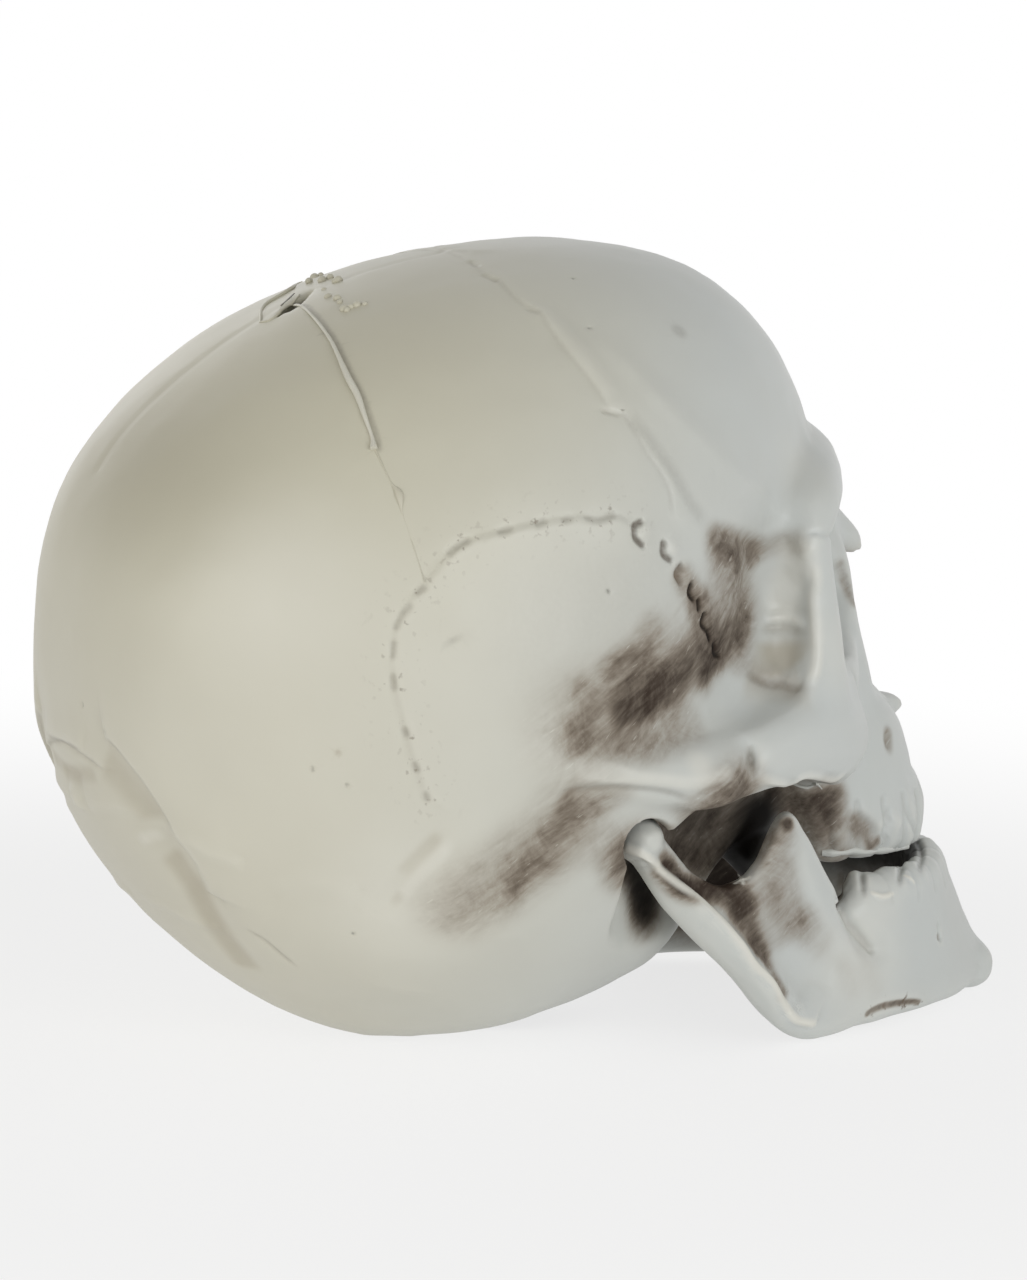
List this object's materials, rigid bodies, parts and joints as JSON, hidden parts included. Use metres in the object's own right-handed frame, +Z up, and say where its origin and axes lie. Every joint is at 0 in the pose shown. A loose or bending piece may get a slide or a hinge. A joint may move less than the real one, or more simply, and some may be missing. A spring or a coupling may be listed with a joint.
{
  "type": "model skull with movable jaw",
  "caption": "Life-size hollow model skull of soft off-white plastic, with a separate lower jaw that swings on its condyles and is held shut by springs.",
  "frame": {"origin": "on the flat under the base, in the middle plane, where the skull stands on a table", "axes": "+Z up, -Y the way the face looks, +X the skull's own left"},
  "size_m": [0.1419, 0.2112, 0.1628],
  "materials": {
    "vinyl": "soft off-white vinyl with a satin skin, rubbed with dark brown paint in its hollows",
    "steel": "bright plated wire"
  },
  "bodies": {
    "cranium": {"cranium": "vinyl", "cranium_eye_right": "steel", "cranium_eye_left": "steel", "jaw_spring_right": "steel", "jaw_spring_left": "steel"},
    "jaw": {"jaw": "vinyl", "jaw_eye_right": "steel", "jaw_eye_left": "steel"}
  },
  "joints": [
    {"name": "jaw_hinge", "type": "hinge", "parent": "cranium", "child": "jaw", "pos_m": [0, -0.038, 0.0467], "axis": [1, 0, 0], "range_deg": [0, 25], "stiffness_Nm_per_rad": 1.2, "springref_deg": -5.73, "deforming": ["jaw_spring_right", "jaw_spring_left"]}
  ]
}
